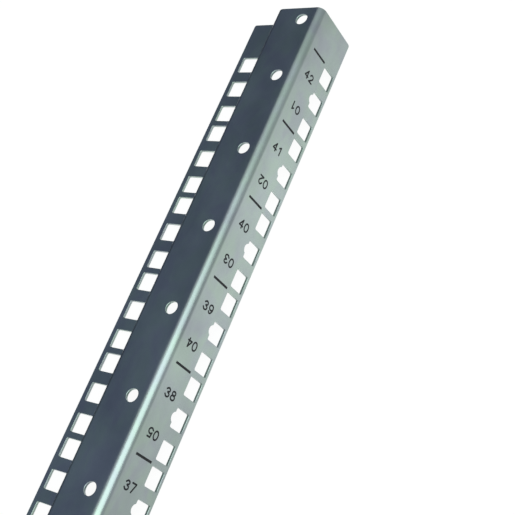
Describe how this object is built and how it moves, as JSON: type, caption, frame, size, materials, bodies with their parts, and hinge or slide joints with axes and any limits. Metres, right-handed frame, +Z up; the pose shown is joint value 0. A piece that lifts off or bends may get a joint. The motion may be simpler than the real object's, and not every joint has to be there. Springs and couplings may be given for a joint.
{
  "type": "rack mounting rail",
  "caption": "Folded sheet-steel equipment rack rail with a stepped brim, two rows of square holes and a row of round holes.",
  "frame": {"origin": "centre of the underside of the bounding box, on the floor that the rail lies on", "axes": "+X along the rail from unit 1 to unit 42; +Z up; the numbered flange is on the -Y side and the brim on the +Y side, each resting on its free edge, crown up"},
  "size_m": [1.909, 0.055, 0.029],
  "materials": {
    "zinc_plated_steel": "zinc-plated sheet, satin"
  },
  "bodies": {
    "root": {"mounting_rail": "zinc_plated_steel"}
  },
  "joints": []
}
